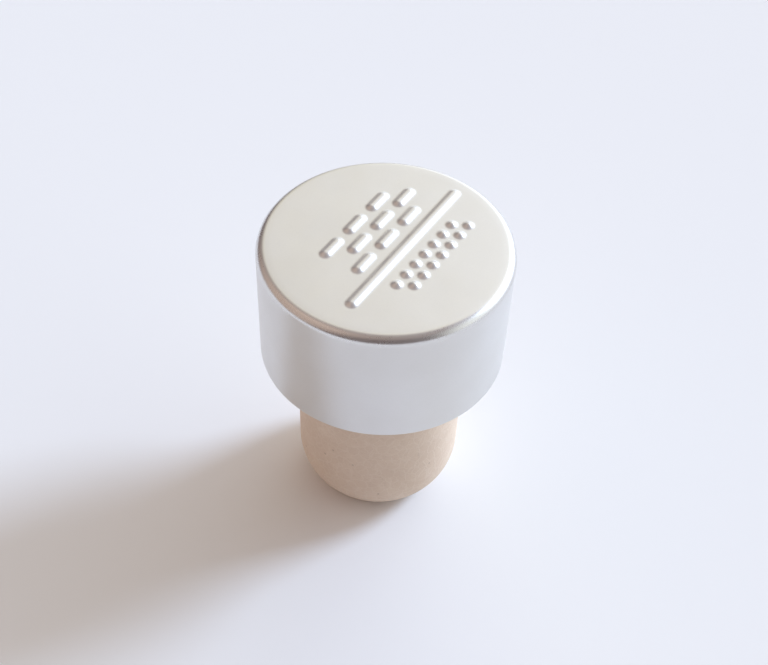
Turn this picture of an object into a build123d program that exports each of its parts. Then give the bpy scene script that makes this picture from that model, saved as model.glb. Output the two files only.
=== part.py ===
"""Bar top cork: a drawn metal cap on a moulded core, with a soft shank that plugs a bottle neck.

The stopper stands on the flat end of its shank. +Z is its axis, the origin is the centre of
that flat end, and +X runs along the raised rule on the cap. All sizes are in millimetres.
"""

import os
from math import cos, radians, sin, sqrt

from build123d import *

os.makedirs("parts", exist_ok=True)

# ---------------------------------------------------------------- overall sizes
cap_radius = 14.4
cap_height = 15.8  # from the shoulder plane up to the flat top
shank_radius = 10.0
shank_reach = 22.6  # from the foot up to the shoulder plane

# ---------------------------------------------------------------- rounded end of the shank
end_upper_radius = 7.7  # gentle arc that leaves the straight wall
end_upper_turn = 42.0  # degrees that the gentle arc turns through
end_lower_radius = 2.9  # tighter arc that runs into the flat foot
shank_top_chamfer = 0.2

# ---------------------------------------------------------------- drawn metal shell
shell_wall = 0.4
shell_top_thickness = 0.5
shell_rim_radius = 1.0
shell_inner_rim_radius = 0.6
shell_setback = 0.2  # the cut edge stays this far above the shoulder plane
shell_edge_radius = 0.12

# ---------------------------------------------------------------- embossed ornament
emboss_height = 0.3
emboss_slope = 30.0  # degrees that the flanks lean in
emboss_crest_radius = 0.1
emboss_root_radius = 0.15
emboss_inset = 0.25  # how much narrower the hollow behind each raised shape is, all round
emboss_hollow_slope = 15.0
rule_width = 1.2
rule_side = -1.9  # the rule runs beside the centre, at this Y
rule_near_margin = 3.0  # from the flat top's edge to the rule's end, at -X
rule_far_margin = 1.3  # the same at +X
dash_length = 3.4
dash_width = 1.2
dash_pitch = 4.6
dash_count = 3  # in each row
dash_row_sides = (0.4, 2.5, 4.6)  # the rows of dashes lie at these Y, each staggered by half a pitch
dash_middle = 1.8
pip_radius = 0.55
pip_pitch = 1.9
pip_count = 7
pip_row_sides = (-4.3, -5.9)
pip_middle = 1.5

# ---------------------------------------------------------------- moulded core
shell_clearance = 0.05  # glue film between the core and the shell
core_wall = 1.6
core_ring_wall = 1.2
core_rib = 1.0
core_rib_count = 8
core_web = 2.2
core_lower_edge_radius = 0.35
hub_radius = 4.4
hub_bore_radius = 1.7
hub_bore_floor = 2.2  # solid plastic left at the tip of the peg
glue_groove_inside = 0.5  # the groove over the shank's edge reaches this far inside its wall
glue_groove_outside = 0.3  # and this far outside it
glue_groove_depth = 0.4

# ---------------------------------------------------------------- peg that holds the shank
peg_length = 14.0
peg_root_radius = 3.4
peg_crest_radius = 4.0
peg_tip_radius = 2.6
peg_tip_height = 1.6
barb_count = 4
barb_pitch = 2.6
peg_clearance = 0.05  # radial, between the peg and the shank's bore
peg_end_gap = 0.5

# ---------------------------------------------------------------- levels and radii that follow
cap_top = shank_reach + cap_height
shell_underside = cap_top - shell_top_thickness
shell_bottom = shank_reach + shell_setback
shell_inner_radius = cap_radius - shell_wall
flat_top_radius = cap_radius - shell_rim_radius
core_radius = shell_inner_radius - shell_clearance
core_wall_inner_radius = core_radius - core_wall
core_ring_middle = (hub_radius + core_wall_inner_radius) / 2
web_top = shank_reach + core_web
peg_tip = shank_reach - peg_length
barbs_top = peg_tip + peg_tip_height + barb_count * barb_pitch
wall_start = end_lower_radius + (end_upper_radius - end_lower_radius) * sin(radians(end_upper_turn))
foot_radius = (
    shank_radius
    - end_upper_radius
    + (end_upper_radius - end_lower_radius) * cos(radians(end_upper_turn))
)

# The rule stops short of the flat top's edge at both ends.
rule_half_chord = sqrt(flat_top_radius**2 - rule_side**2)
rule_start = rule_near_margin - rule_half_chord
rule_end = rule_half_chord - rule_far_margin
rule_length = rule_end - rule_start
rule_middle = (rule_start + rule_end) / 2


def staggered_rows(row_sides: tuple, middle: float, pitch: float, count: int) -> list:
    """Points in rows along X, one row for each Y, shifted in turn by half a pitch."""
    points = []
    for row, side in enumerate(row_sides):
        shift = pitch / 4 if row % 2 else -pitch / 4
        first = middle + shift - pitch * (count - 1) / 2
        points += [(first + pitch * index, side) for index in range(count)]
    return points


def draw_ornament(inset: float) -> None:
    """Draw the rule, the dashes and the pips in the open sketch, narrower by inset."""
    with Locations((rule_middle, rule_side)):
        SlotOverall(rule_length - 2 * inset, rule_width - 2 * inset)
    with Locations(*staggered_rows(dash_row_sides, dash_middle, dash_pitch, dash_count)):
        SlotOverall(dash_length - 2 * inset, dash_width - 2 * inset)
    with Locations(*staggered_rows(pip_row_sides, pip_middle, pip_pitch, pip_count)):
        Circle(pip_radius - inset)


def peg_outline(clearance: float, end_gap: float) -> list:
    """Half section of the barbed peg as (radius, height), from the shoulder plane down to the tip.

    Each barb has a flat shelf towards the cap and a slope towards the tip.
    """
    root = peg_root_radius + clearance
    crest = peg_crest_radius + clearance
    points = [(0, shank_reach), (root, shank_reach)]
    for index in range(barb_count):
        shelf = barbs_top - index * barb_pitch
        points += [(root, shelf), (crest, shelf)]
    points += [
        (root, peg_tip + peg_tip_height),
        (peg_tip_radius + clearance, peg_tip - end_gap),
        (0, peg_tip - end_gap),
    ]
    return points


# ---------------------------------------------------------------- cap_shell
# One drawn and stamped aluminium cup, open at the bottom.
with BuildPart() as cap_shell:
    with BuildSketch(Plane.XZ):
        with BuildLine():
            Polyline(
                (0, shell_underside),
                (0, cap_top),
                (flat_top_radius, cap_top),
            )
            CenterArc(
                (flat_top_radius, cap_top - shell_rim_radius), shell_rim_radius, 0, 90
            )
            Polyline(
                (cap_radius, cap_top - shell_rim_radius),
                (cap_radius, shell_bottom),
                (shell_inner_radius, shell_bottom),
                (shell_inner_radius, shell_underside - shell_inner_rim_radius),
            )
            CenterArc(
                (
                    shell_inner_radius - shell_inner_rim_radius,
                    shell_underside - shell_inner_rim_radius,
                ),
                shell_inner_rim_radius,
                0,
                90,
            )
            Line(
                (shell_inner_radius - shell_inner_rim_radius, shell_underside),
                (0, shell_underside),
            )
        make_face()
    revolve(axis=Axis.Z)
    fillet(cap_shell.edges().group_by(Axis.Z)[0], shell_edge_radius)

    with BuildSketch(Plane.XY.offset(cap_top)):
        draw_ornament(0)
    extrude(amount=emboss_height, taper=emboss_slope)
    fillet(cap_shell.edges().group_by(Axis.Z)[-1], emboss_crest_radius)
    # The flat top is the level just below the crests, and its inner wires are their roots.
    flat_top = cap_shell.faces().filter_by(Plane.XY).group_by(Axis.Z)[-2][0]
    fillet(flat_top.inner_wires().edges(), emboss_root_radius)

    with BuildSketch(Plane.XY.offset(shell_underside)):
        draw_ornament(emboss_inset)
    extrude(amount=emboss_height, taper=emboss_hollow_slope, mode=Mode.SUBTRACT)

cap_shell.part.label = "cap_shell"
export_step(cap_shell.part, "parts/cap_shell.step")

# ---------------------------------------------------------------- cap_core
# One moulding: a ribbed drum that fills the shell, with a flat shoulder and a barbed peg below.
with BuildPart() as cap_core:
    with BuildSketch(Plane.XY.offset(shank_reach)):
        Circle(core_radius)
    extrude(amount=shell_underside - shank_reach)
    fillet(cap_core.edges().group_by(Axis.Z)[-1], shell_inner_rim_radius + shell_clearance)
    fillet(cap_core.edges().group_by(Axis.Z)[0], core_lower_edge_radius)

    # Pockets between the ribs, open towards the shell's underside.
    with BuildSketch(Plane.XY.offset(web_top)):
        Circle(core_wall_inner_radius)
        Circle(core_ring_middle + core_ring_wall / 2, mode=Mode.SUBTRACT)
        Circle(core_ring_middle - core_ring_wall / 2)
        Circle(hub_radius, mode=Mode.SUBTRACT)
        with PolarLocations(0, core_rib_count // 2, angular_range=180, endpoint=False):
            Rectangle(2 * core_radius, core_rib, mode=Mode.SUBTRACT)
    extrude(amount=shell_underside - web_top, mode=Mode.SUBTRACT)

    # A ring groove over the shank's edge takes the glue that is squeezed out.
    with BuildSketch(Plane.XY.offset(shank_reach)):
        Circle(shank_radius + glue_groove_outside)
        Circle(shank_radius - glue_groove_inside, mode=Mode.SUBTRACT)
    extrude(amount=glue_groove_depth, mode=Mode.SUBTRACT)

    with BuildSketch(Plane.XZ):
        with BuildLine():
            Polyline(*peg_outline(0, 0), close=True)
        make_face()
    revolve(axis=Axis.Z)

    # The hub is cored out down into the peg, so that the plastic stays even.
    with BuildSketch(Plane.XY.offset(peg_tip + hub_bore_floor)):
        Circle(hub_bore_radius)
    extrude(amount=shell_underside - peg_tip - hub_bore_floor, mode=Mode.SUBTRACT)

cap_core.part.label = "cap_core"
export_step(cap_core.part, "parts/cap_core.step")

# ---------------------------------------------------------------- shank
# One soft plug with a rounded end and a flat foot, glued over the peg and against the shoulder.
with BuildPart() as shank:
    with BuildSketch(Plane.XZ):
        with BuildLine():
            Line((0, 0), (foot_radius, 0))
            CenterArc(
                (foot_radius, end_lower_radius), end_lower_radius, -90, 90 - end_upper_turn
            )
            CenterArc(
                (shank_radius - end_upper_radius, wall_start),
                end_upper_radius,
                -end_upper_turn,
                end_upper_turn,
            )
            Polyline(
                (shank_radius, wall_start),
                (shank_radius, shank_reach),
                (0, shank_reach),
                (0, 0),
            )
        make_face()
    revolve(axis=Axis.Z)
    chamfer(shank.edges().group_by(Axis.Z)[-1], shank_top_chamfer)

    with BuildSketch(Plane.XZ):
        with BuildLine():
            Polyline(*peg_outline(peg_clearance, peg_end_gap), close=True)
        make_face()
    revolve(axis=Axis.Z, mode=Mode.SUBTRACT)

shank.part.label = "shank"
export_step(shank.part, "parts/shank.step")
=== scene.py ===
# %% [markdown]
# # A bar top cork, dressed for its portrait
# A bar top cork is the stopper of a spirits bottle. It has three pieces: a satin aluminium shell
# with a stamped top, a moulded core inside it, and a soft synthetic cork shank. The measured
# model comes first, and every piece below is made to its sizes.

# %% Load the measured model
from math import cos, pi, radians, sin, sqrt

import bmesh
import bpy
from mathutils import Matrix, Vector


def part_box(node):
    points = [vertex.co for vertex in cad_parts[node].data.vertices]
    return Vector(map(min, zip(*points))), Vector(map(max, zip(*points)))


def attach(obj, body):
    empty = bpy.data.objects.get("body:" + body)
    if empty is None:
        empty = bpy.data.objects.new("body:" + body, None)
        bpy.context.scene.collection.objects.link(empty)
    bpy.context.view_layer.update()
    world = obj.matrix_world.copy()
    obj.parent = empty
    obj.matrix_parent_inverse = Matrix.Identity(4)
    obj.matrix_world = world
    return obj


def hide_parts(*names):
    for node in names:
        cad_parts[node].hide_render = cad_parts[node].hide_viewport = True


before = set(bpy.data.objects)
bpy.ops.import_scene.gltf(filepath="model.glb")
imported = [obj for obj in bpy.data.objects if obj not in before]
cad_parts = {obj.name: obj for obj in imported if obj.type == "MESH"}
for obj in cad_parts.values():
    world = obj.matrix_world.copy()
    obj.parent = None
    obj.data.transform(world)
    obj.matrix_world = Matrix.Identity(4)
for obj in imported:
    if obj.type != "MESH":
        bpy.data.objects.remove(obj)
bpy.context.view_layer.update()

print("pieces in the frame:", sorted(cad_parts))

# %% [markdown]
# ## Sizes
# Everything is in metres, so a size in millimetres is multiplied by `mm`. The overall sizes are
# read from the frame, and only what the frame's boxes cannot tell is given here.

# %% Overall sizes
mm = 0.001
hair = 0.01 * mm  # two places nearer than this count as the same
shell_low, shell_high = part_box("cap_shell")
shank_low, shank_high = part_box("shank")
emboss_height = 0.3 * mm
rim_radius = 1.0 * mm
shell_thickness = 0.4 * mm
cap_radius = shell_high.x
cap_top = shell_high.z - emboss_height
cap_bottom = shell_low.z
shank_radius = shank_high.x
shoulder = shank_high.z
print(f"cap radius {cap_radius / mm:.2f} mm, flat top at {cap_top / mm:.2f} mm")
print(f"shank radius {shank_radius / mm:.2f} mm, shoulder at {shoulder / mm:.2f} mm")


# %% [markdown]
# ## Two small helpers
# Blender's operators work on whatever is selected. One helper starts each piece with a clean
# selection, and the other picks faces or edges by a test on where they are, which stands in for
# clicking on them.

# %% Helpers for selecting
def start_clean():
    """Leave no object selected and be in object mode."""
    if bpy.context.object and bpy.context.object.mode != "OBJECT":
        bpy.ops.object.mode_set(mode="OBJECT")
    bpy.ops.object.select_all(action="DESELECT")


def select_where(kind, test):
    """In edit mode, select only the faces, edges or verts that pass the test. Returns how many."""
    mesh = bmesh.from_edit_mesh(bpy.context.object.data)
    bpy.ops.mesh.select_all(action="DESELECT")
    chosen = [element for element in getattr(mesh, kind) if test(element)]
    for element in chosen:
        element.select_set(True)
    mesh.select_flush_mode()
    bmesh.update_edit_mesh(bpy.context.object.data)
    return len(chosen)


def apply_modifiers(piece):
    """Apply every modifier of the piece, from the top of its stack down."""
    for modifier in list(piece.modifiers):
        bpy.ops.object.modifier_apply(modifier=modifier.name)


def push_ring(radius, height, old_radius, old_height):
    """Extrude the selected ring of edges to a new radius and height, as on a lathe."""
    bpy.ops.mesh.extrude_edges_move()
    bpy.ops.transform.translate(value=(0, 0, height - old_height))
    share = radius / old_radius
    bpy.ops.transform.resize(value=(share, share, 1), center_override=(0, 0, height))


# %% [markdown]
# ## The ornament
# A cap like this is stamped from the back, so its ornament is a soft swelling of the sheet and
# not a block on top of it. Here it is one long rule, three staggered rows of dashes on one side and
# two staggered rows of pips on the other. Each shape is a spine with a width: a point's height
# depends only on how far it is from the nearest spine. That gives round ends and rolled flanks.

# %% Ornament layout
rule_half_width = 0.6 * mm
rule_side = -1.9 * mm
flat_top_radius = cap_radius - rim_radius
rule_near_margin = 3.0 * mm
rule_far_margin = 1.3 * mm
rule_half_chord = sqrt(flat_top_radius**2 - rule_side**2)
rule_start = rule_near_margin - rule_half_chord
rule_end = rule_half_chord - rule_far_margin

dash_half_width = 0.6 * mm
dash_half_length = 1.7 * mm
dash_pitch = 4.6 * mm
dash_middle = 1.8 * mm
dash_row_sides = (0.4 * mm, 2.5 * mm, 4.6 * mm)
dash_count = 3

pip_radius = 0.55 * mm
pip_pitch = 1.9 * mm
pip_middle = 1.5 * mm
pip_row_sides = (-4.3 * mm, -5.9 * mm)
pip_count = 7


def staggered_rows(row_sides, middle, pitch, count):
    """Points in rows along X, one row for each Y, shifted in turn by half a pitch."""
    points = []
    for row, side in enumerate(row_sides):
        shift = pitch / 4 if row % 2 else -pitch / 4
        first = middle + shift - pitch * (count - 1) / 2
        points += [(first + pitch * index, side) for index in range(count)]
    return points


# Each spine is its start X, its end X, its Y and its half width.
spines = [(rule_start + rule_half_width, rule_end - rule_half_width, rule_side, rule_half_width)]
for x, y in staggered_rows(dash_row_sides, dash_middle, dash_pitch, dash_count):
    reach = dash_half_length - dash_half_width
    spines.append((x - reach, x + reach, y, dash_half_width))
for x, y in staggered_rows(pip_row_sides, pip_middle, pip_pitch, pip_count):
    spines.append((x, x, y, pip_radius))
print("raised shapes:", len(spines))


# %% Height of the ornament at a point
flank_outside = 0.25 * mm
flank_inside = 0.5 * mm


def beyond_spine(x, y, spine):
    """How far a point on the flat top lies beyond the outline of one raised shape."""
    start, end, side, half_width = spine
    nearest = min(max(x, start), end)
    return sqrt((x - nearest) ** 2 + (y - side) ** 2) - half_width


def raised_share(x, y):
    """0 on the flat, 1 on a crest, with a smooth S between them."""
    beyond = min(beyond_spine(x, y, spine) for spine in spines)
    share = (flank_outside - beyond) / (flank_outside + flank_inside)
    share = min(max(share, 0.0), 1.0)
    return share * share * (3 - 2 * share)


# %% [markdown]
# ## The metal shell
# A press draws the shell from flat sheet, so it is modelled the same way: a flat disc whose edge
# is pulled out and down. The disc is filled with a grid of squares, because long thin triangles
# would pinch the reflections. The rim is one bevel of the corner, as round as the model's rim.

# %% Draw the cup
rim_sides = 256
rim_steps = 12
disc_margin = 1.8 * mm
disc_radius = cap_radius - disc_margin

start_clean()
bpy.ops.mesh.primitive_circle_add(
    vertices=rim_sides, radius=disc_radius, fill_type="NOTHING", location=(0, 0, cap_top)
)
shell = bpy.context.object
shell.name = "satin_shell"
bpy.ops.object.transform_apply(location=True, rotation=False, scale=False)
bpy.ops.object.mode_set(mode="EDIT")
bpy.ops.mesh.select_all(action="SELECT")
bpy.ops.mesh.fill_grid(span=rim_sides // 4)
select_where("edges", lambda edge: edge.is_boundary)
push_ring(cap_radius, cap_top, disc_radius, cap_top)
push_ring(cap_radius, cap_bottom, cap_radius, cap_top)


def on_corner(edge):
    """True for the edges where the flat top meets the side wall."""
    return all(
        abs(v.co.z - cap_top) < hair and v.co.xy.length > cap_radius - hair
        for v in edge.verts
    )


corners = select_where("edges", on_corner)
bpy.ops.mesh.bevel(offset=rim_radius, segments=rim_steps, affect="EDGES")
print("corner edges rounded:", corners)

# %% Refine the grid where the ornament will rise
near_ornament = flank_outside + 0.35 * mm


def under_ornament(face):
    """True for faces of the flat top that lie under a raised shape or its flank."""
    middle = face.calc_center_median()
    if abs(middle.z - cap_top) > hair:
        return False
    return min(beyond_spine(middle.x, middle.y, spine) for spine in spines) < near_ornament


refined = select_where("faces", under_ornament)
bpy.ops.mesh.subdivide(number_cuts=3)
bpy.ops.mesh.select_all(action="SELECT")
bpy.ops.mesh.normals_make_consistent(inside=False)
bpy.ops.object.mode_set(mode="OBJECT")
print("faces refined:", refined)

# %% [markdown]
# The swelling itself is painted as a vertex group, whose weight at each point is the share of
# the full height, and a Displace modifier lifts the sheet by it. Solidify then gives the sheet
# its thickness, which leaves the matching hollows on the inside as a stamp does, and a narrow
# bevel breaks the two edges of the cut rim.

# %% Stamp the ornament and thicken the sheet
raised = shell.vertex_groups.new(name="raised")
for vertex in shell.data.vertices:
    if abs(vertex.co.z - cap_top) < hair:
        share = raised_share(vertex.co.x, vertex.co.y)
        if share > 0:
            raised.add([vertex.index], share, "REPLACE")

stamp = shell.modifiers.new("stamp", "DISPLACE")
stamp.vertex_group = "raised"
stamp.direction = "Z"
stamp.mid_level = 0
stamp.strength = emboss_height
sheet = shell.modifiers.new("sheet", "SOLIDIFY")
sheet.thickness = shell_thickness
sheet.offset = -1
cut_edge = shell.modifiers.new("cut_edge", "BEVEL")
cut_edge.width = 0.1 * mm
cut_edge.segments = 3
cut_edge.limit_method = "ANGLE"
cut_edge.angle_limit = radians(60)
apply_modifiers(shell)
bpy.ops.object.shade_smooth_by_angle(angle=radians(35))
print("shell faces:", len(shell.data.polygons))
print("shell box:", [round(side / mm, 2) for side in shell.dimensions], "mm")

# %% [markdown]
# ## The shank
# The shank is round, so it is pushed up ring by ring from its foot: a tight arc off the table,
# a gentle arc into the straight wall, up to the shoulder, in to the bore and down to its floor.
# The measured model's bore follows the barbs of the peg. Nobody sees it, so here it is plain.

# %% Profile of the shank
lower_radius = 2.9 * mm
upper_radius = 7.7 * mm
upper_turn = radians(42)
lower_centre = (
    shank_radius - upper_radius + (upper_radius - lower_radius) * cos(upper_turn),
    lower_radius,
)
upper_centre = (
    shank_radius - upper_radius,
    lower_radius + (upper_radius - lower_radius) * sin(upper_turn),
)
bore_radius = 4.05 * mm
bore_floor = 8.1 * mm
top_chamfer = 0.2 * mm


def arc(centre, radius, start, end, steps):
    """Points (radius, height) along an arc, without its first point. Angles count from +X up."""
    turns = [start + (end - start) * step / steps for step in range(1, steps + 1)]
    return [(centre[0] + radius * cos(turn), centre[1] + radius * sin(turn)) for turn in turns]


def straight(start, end, steps):
    """Points evenly along a straight line, without its first point."""
    shares = [step / steps for step in range(1, steps + 1)]
    return [
        (start[0] + (end[0] - start[0]) * s, start[1] + (end[1] - start[1]) * s) for s in shares
    ]


profile = [(lower_centre[0], 0.0)]
profile += arc(lower_centre, lower_radius, -pi / 2, -upper_turn, 8)
profile += arc(upper_centre, upper_radius, -upper_turn, 0, 12)
profile += straight(profile[-1], (shank_radius, shoulder - top_chamfer), 36)
profile += [(shank_radius - top_chamfer, shoulder)]
profile += straight(profile[-1], (bore_radius, shoulder), 6)
profile += straight(profile[-1], (bore_radius, bore_floor), 8)
print("rings on the shank:", len(profile))

# %% Turn the shank
shank_sides = 160
foot_radius = profile[0][0]

start_clean()
bpy.ops.mesh.primitive_circle_add(vertices=shank_sides, radius=foot_radius, fill_type="NOTHING")
shank = bpy.context.object
shank.name = "cork_shank"
bpy.ops.object.mode_set(mode="EDIT")
bpy.ops.mesh.select_all(action="SELECT")
old_radius, old_height = profile[0]
for radius, height in profile[1:]:
    push_ring(radius, height, old_radius, old_height)
    old_radius, old_height = radius, height
bpy.ops.mesh.fill_grid(span=shank_sides // 4)
select_where("edges", lambda edge: edge.is_boundary)
bpy.ops.mesh.fill_grid(span=shank_sides // 4)
bpy.ops.mesh.select_all(action="SELECT")
bpy.ops.mesh.normals_make_consistent(inside=False)
bpy.ops.object.mode_set(mode="OBJECT")
bpy.ops.object.shade_smooth_by_angle(angle=radians(40))
print("shank faces:", len(shank.data.polygons))
print("shank box:", [round(side / mm, 2) for side in shank.dimensions], "mm")


# %% [markdown]
# ## Materials
# Every pattern is worked out from the place on the piece itself, in metres. A scale of 1000 gives
# features about a millimetre wide, and the pattern stays put however the part is turned. The
# helpers below work on the material that was made last, through `nodes` and `links`.

# %% Helpers for materials
def new_material(name):
    """A material with an empty node tree but for its output and one Principled shader."""
    material = bpy.data.materials.new(name)
    material.use_nodes = True
    nodes = material.node_tree.nodes
    return material, nodes, material.node_tree.links, nodes["Principled BSDF"]


def add_node(kind, values, **settings):
    """Add a node to the open tree, set its options, then set its unlinked inputs by name."""
    node = nodes.new("ShaderNode" + kind)
    for name, value in settings.items():
        setattr(node, name, value)
    for name, value in values.items():
        node.inputs[name].default_value = value
    return node


def between(source, low, high, new_low, new_high):
    """Carry a value from one range to another, held at the ends."""
    node = add_node(
        "MapRange", {"From Min": low, "From Max": high, "To Min": new_low, "To Max": new_high}
    )
    links.new(source, node.inputs["Value"])
    return node.outputs["Result"]


def blend(share, first, second, mode="MIX"):
    """Blend two colours by a share. Each is a fixed colour or another node's output."""
    node = add_node("Mix", {}, data_type="RGBA", blend_type=mode)
    for name, value in (("Factor", share), ("A", first), ("B", second)):
        if isinstance(value, (tuple, float)):
            node.inputs[name].default_value = value
        else:
            links.new(value, node.inputs[name])
    return node.outputs["Result"]


def noise(place, scale, detail=2.0, roughness=0.5, distortion=0.0):
    """Smooth noise at a place, with features about 1/scale metres wide."""
    node = add_node(
        "TexNoise",
        {"Scale": scale, "Detail": detail, "Roughness": roughness, "Distortion": distortion},
    )
    links.new(place, node.inputs["Vector"])
    return node.outputs["Fac"]


def bumps(height, depth, under=None):
    """Turn a height pattern into relief that is depth metres deep, on top of any under it."""
    node = add_node("Bump", {"Strength": 1.0, "Distance": depth})
    links.new(height, node.inputs["Height"])
    if under:
        links.new(under, node.inputs["Normal"])
    return node.outputs["Normal"]


# %% [markdown]
# ### Satin metal
# The shell is blasted fine and then anodised. The clear oxide scatters part of the light, so the
# metal is a little less than fully metallic. Blasting leaves an even, very fine grain, and the
# sheet keeps a faint waviness from the press. Handling has polished it a little, in soft patches,
# and most of all on the round of the rim, where fingers grip and the die has rubbed it smooth.

# %% Make the satin metal
satin, nodes, links, shader = new_material("satin_anodised_aluminium")
place = add_node("TexCoord", {}).outputs["Object"]
clouds = noise(place, 130.0, detail=3.0)
grain = noise(place, 5200.0, detail=3.0, roughness=0.65)
handling = noise(place, 320.0, detail=4.0, roughness=0.6, distortion=0.4)

warm_grey = (0.765, 0.755, 0.735, 1)
light_grey = (0.79, 0.783, 0.77, 1)
grain_grey = (0.62, 0.61, 0.60, 1)
tone = blend(between(clouds, 0.35, 0.65, 0.0, 1.0), warm_grey, light_grey)
fleck = between(grain, 0.25, 0.75, 0.0, 0.10)
links.new(blend(fleck, tone, grain_grey), shader.inputs["Base Color"])

# The rim is where a place is both far out from the axis and high up.
parts = add_node("SeparateXYZ", {})
links.new(place, parts.inputs[0])
flat_place = add_node("VectorMath", {1: (1, 1, 0)}, operation="MULTIPLY")
links.new(place, flat_place.inputs[0])
from_axis = add_node("VectorMath", {}, operation="LENGTH")
links.new(flat_place.outputs[0], from_axis.inputs[0])
outward = between(
    from_axis.outputs["Value"], flat_top_radius - 0.2 * mm, flat_top_radius + 0.4 * mm, 0.0, 1.0
)
upward = between(parts.outputs[2], cap_top - 1.4 * mm, cap_top - 0.7 * mm, 0.0, 1.0)
on_rim = add_node("Math", {}, operation="MULTIPLY")
links.new(outward, on_rim.inputs[0])
links.new(upward, on_rim.inputs[1])

polish = between(on_rim.outputs[0], 0.0, 1.0, 0.0, -0.06)
satin_roughness = between(handling, 0.35, 0.65, 0.31, 0.36)
for change in (between(grain, 0.3, 0.7, -0.02, 0.03), polish):
    total = add_node("Math", {}, operation="ADD")
    links.new(satin_roughness, total.inputs[0])
    links.new(change, total.inputs[1])
    satin_roughness = total.outputs[0]
links.new(satin_roughness, shader.inputs["Roughness"])
links.new(between(on_rim.outputs[0], 0.0, 1.0, 0.65, 0.95), shader.inputs["Metallic"])

press_waves = bumps(noise(place, 210.0, detail=1.0), 0.012 * mm)
links.new(bumps(grain, 0.0012 * mm, press_waves), shader.inputs["Normal"])
print("satin metal:", len(nodes), "nodes")

# %% [markdown]
# ### Synthetic cork
# The shank is foamed plastic. Its skin shows the swollen granules as cells about a millimetre
# wide with faint, wandering seams. Between them are fine pores, and here and there a darker fleck.

# %% Make the synthetic cork
foam, nodes, links, shader = new_material("beige_foam")
place = add_node("TexCoord", {}).outputs["Object"]
wander = add_node("TexNoise", {"Scale": 900.0, "Detail": 2.0})
links.new(place, wander.inputs["Vector"])
shift = add_node("VectorMath", {"Scale": 0.9 * mm}, operation="SCALE")
links.new(wander.outputs["Color"], shift.inputs[0])
shifted = add_node("VectorMath", {}, operation="ADD")
links.new(place, shifted.inputs[0])
links.new(shift.outputs[0], shifted.inputs[1])

cell_scale = 850.0
cells = add_node("TexVoronoi", {"Scale": cell_scale}, feature="F1")
links.new(shifted.outputs[0], cells.inputs["Vector"])
seams = add_node("TexVoronoi", {"Scale": cell_scale}, feature="DISTANCE_TO_EDGE")
links.new(shifted.outputs[0], seams.inputs["Vector"])
seam = between(seams.outputs["Distance"], 0.0, 0.09, 1.0, 0.0)
pores = noise(place, 4200.0, detail=3.0, roughness=0.6)
mottle = noise(place, 260.0, detail=3.0)

cell_tone = add_node("SeparateColor", {})
links.new(cells.outputs["Color"], cell_tone.inputs[0])
beige = (0.75, 0.59, 0.455, 1)
light_beige = (0.79, 0.635, 0.495, 1)
cell_beige = (0.73, 0.57, 0.435, 1)
pore_brown = (0.58, 0.44, 0.33, 1)
seam_cream = (0.90, 0.78, 0.66, 1)
fleck_brown = (0.42, 0.30, 0.21, 1)
colour = blend(between(mottle, 0.35, 0.65, 0.0, 1.0), beige, light_beige)
colour = blend(between(cell_tone.outputs[0], 0.0, 1.0, 0.0, 0.35), colour, cell_beige)
colour = blend(between(pores, 0.55, 0.75, 0.0, 0.35), colour, pore_brown)
seam_share = add_node("Math", {1: 0.22}, operation="MULTIPLY")
links.new(seam, seam_share.inputs[0])
colour = blend(seam_share.outputs[0], colour, seam_cream)

flecks = add_node("TexVoronoi", {"Scale": 620.0}, feature="F1")
links.new(place, flecks.inputs["Vector"])
fleck_pick = add_node("SeparateColor", {})
links.new(flecks.outputs["Color"], fleck_pick.inputs[0])
fleck = add_node("Math", {}, operation="MULTIPLY")
links.new(between(flecks.outputs["Distance"], 0.05, 0.12, 1.0, 0.0), fleck.inputs[0])
links.new(between(fleck_pick.outputs[0], 0.72, 0.78, 0.0, 0.6), fleck.inputs[1])
links.new(blend(fleck.outputs[0], colour, fleck_brown), shader.inputs["Base Color"])

links.new(between(pores, 0.3, 0.7, 0.62, 0.80), shader.inputs["Roughness"])
granule_relief = bumps(seam, 0.012 * mm)
links.new(bumps(pores, 0.02 * mm, granule_relief), shader.inputs["Normal"])
print("synthetic cork:", len(nodes), "nodes")

# %% [markdown]
# ### Core plastic
# The moulded core shows only from below, as a narrow ring around the shank. It is plain cream
# plastic with a spark-eroded texture and the faint swirl that pigment leaves near a gate.

# %% Make the core plastic
plastic, nodes, links, shader = new_material("cream_plastic")
place = add_node("TexCoord", {}).outputs["Object"]
swirl = noise(place, 180.0, detail=3.0, distortion=1.5)
texture = noise(place, 3600.0, detail=2.0)
cream = (0.72, 0.65, 0.54, 1)
light_cream = (0.76, 0.70, 0.60, 1)
colour = blend(between(swirl, 0.35, 0.65, 0.0, 1.0), cream, light_cream)
links.new(colour, shader.inputs["Base Color"])
links.new(between(texture, 0.3, 0.7, 0.42, 0.54), shader.inputs["Roughness"])
links.new(bumps(texture, 0.004 * mm), shader.inputs["Normal"])
print("core plastic:", len(nodes), "nodes")

# %% [markdown]
# ### Dress the pieces
# The shell and the shank stand in for the measured ones. The core keeps its measured shape and
# gets only a material. Nothing moves, so the shell and the shank are attached to the one body,
# `root`.

# %% Give each piece its material, and the shell and the shank their body
for piece, material in ((shell, satin), (shank, foam), (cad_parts["cap_core"], plastic)):
    piece.data.materials.clear()
    piece.data.materials.append(material)

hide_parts("cap_shell")
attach(shell, "root")
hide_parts("shank")
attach(shank, "root")
print("dressed:", shell.name, shank.name, "cap_core")

# %% [markdown]
# ## Stage
# The stopper stands on a white table beside a window, in a room that is otherwise dim. The camera
# looks down on it from about 17 cm away, with the rule on the cap running off to the right.

# %% Camera
view_turn = radians(-59.1)
camera_distance = 100.2 * mm
camera_height = 133.2 * mm
camera_down = radians(47.46)
camera_pan = radians(-0.09)
camera_roll = radians(2.66)

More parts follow.
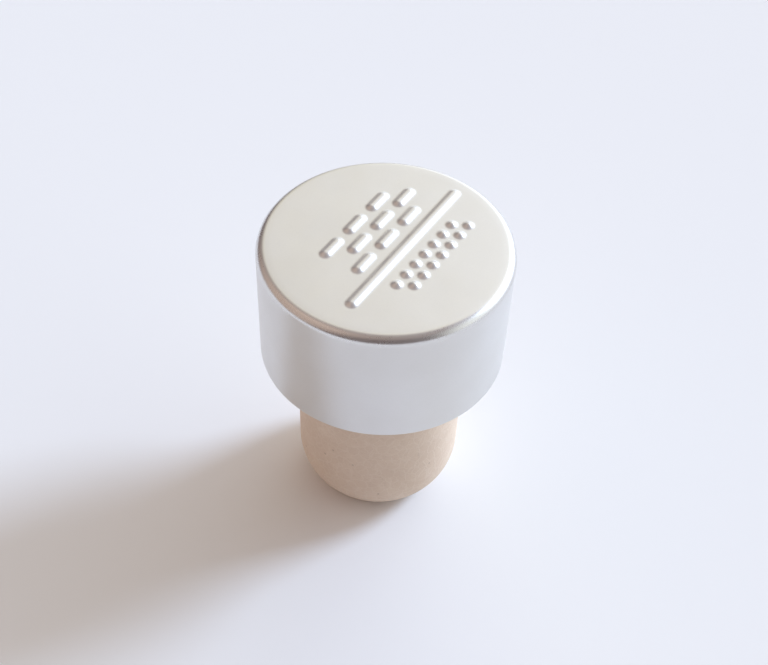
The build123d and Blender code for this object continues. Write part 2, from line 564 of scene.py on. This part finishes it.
camera_data = bpy.data.cameras.new("camera")
camera_data.lens = 58.83
camera_data.sensor_width = 36
camera_data.clip_start = 0.01
camera_data.clip_end = 10
camera = bpy.data.objects.new("camera", camera_data)
bpy.context.scene.collection.objects.link(camera)
stand = Matrix.Translation((0, -camera_distance, camera_height))
aim = (
    Matrix.Rotation(camera_pan, 4, "Z")
    @ Matrix.Rotation(pi / 2 - camera_down, 4, "X")
    @ Matrix.Rotation(camera_roll, 4, "Z")
)
camera.matrix_world = Matrix.Rotation(view_turn, 4, "Z") @ stand @ aim
bpy.context.scene.camera = camera
print("camera:", [round(step / mm, 1) for step in camera.location], "mm")

# %% [markdown]
# ### Light
# The window is a broad, low sun with a cool tint, and its wide angle gives the shadow its soft
# edge. The rest of the room is soft patches on the sky, which the metal mirrors.

# %% Window light
window_azimuth = radians(28)
window_height = radians(29)
window_data = bpy.data.lights.new("window", "SUN")
window_data.energy = 2.85
window_data.color = (0.62, 0.77, 1.0)
window_data.angle = radians(17)
window = bpy.data.objects.new("window", window_data)
bpy.context.scene.collection.objects.link(window)


def toward(azimuth, height):
    """Unit vector at a height above the table, turned from camera right towards the back."""
    ray = Vector((cos(height) * cos(azimuth), cos(height) * sin(azimuth), sin(height)))
    return Matrix.Rotation(view_turn, 3, "Z") @ ray


facing_window = toward(window_azimuth, window_height).to_track_quat("Z", "Y")
window.matrix_world = facing_window.to_matrix().to_4x4()
print("towards the window:", [round(part, 2) for part in toward(window_azimuth, window_height)])

# %% Room light
# Each patch of light is an azimuth, a height, how near a direction must point to it before it
# shows (the cosine of the angle between them) and a colour.
patches = (
    (0, 12, 0.60, (0.84, 0.91, 0.90, 1)),
    (45, 12, 0.60, (0.84, 1.02, 1.36, 1)),
    (75, 31, 0.72, (0.76, 0.74, 0.57, 1)),
    (185, 35, 0.60, (0.40, 0.31, 0.25, 1)),
    (0, 90, 0.60, (0.16, 0.13, 0.11, 1)),
)
full_at = 0.96  # past this cosine a patch has its full colour
world = bpy.data.worlds.new("room")
bpy.context.scene.world = world
world.use_nodes = True
nodes = world.node_tree.nodes
links = world.node_tree.links
nodes.clear()
output = nodes.new("ShaderNodeOutputWorld")
direction = add_node("TexCoord", {}).outputs["Generated"]
light = (0.180, 0.145, 0.145, 1)
for azimuth, height, edge, colour in patches:
    facing = add_node("VectorMath", {}, operation="DOT_PRODUCT")
    facing.inputs[1].default_value = toward(radians(azimuth), radians(height))
    links.new(direction, facing.inputs[0])
    ramp = {"From Min": edge, "From Max": full_at}
    reach = add_node("MapRange", ramp, interpolation_type="SMOOTHSTEP")
    links.new(facing.outputs["Value"], reach.inputs["Value"])
    light = blend(reach.outputs["Result"], light, colour, "ADD")

room = add_node("Background", {})
links.new(light, room.inputs["Color"])
backdrop = add_node("Background", {"Color": (0.82, 0.83, 0.90, 1)})
choose = add_node("MixShader", {})
links.new(add_node("LightPath", {}).outputs["Is Camera Ray"], choose.inputs[0])
links.new(room.outputs[0], choose.inputs[1])
links.new(backdrop.outputs[0], choose.inputs[2])
links.new(choose.outputs[0], output.inputs["Surface"])
print("patches of light:", len(patches))

# %% [markdown]
# ### Table
# The table is plain, matt and white, and far wider than the view. The colour behind it is set to
# meet its own at the horizon.

# %% Lay the table
table_size = 6
start_clean()
bpy.ops.mesh.primitive_plane_add(size=table_size)
table = bpy.context.object
table.name = "table"
white, nodes, links, shader = new_material("white_table")
shader.inputs["Base Color"].default_value = (0.91, 0.91, 0.91, 1)
shader.inputs["Roughness"].default_value = 1
shader.inputs["Specular IOR Level"].default_value = 0
table.data.materials.append(white)

bpy.context.scene.view_settings.view_transform = "Standard"
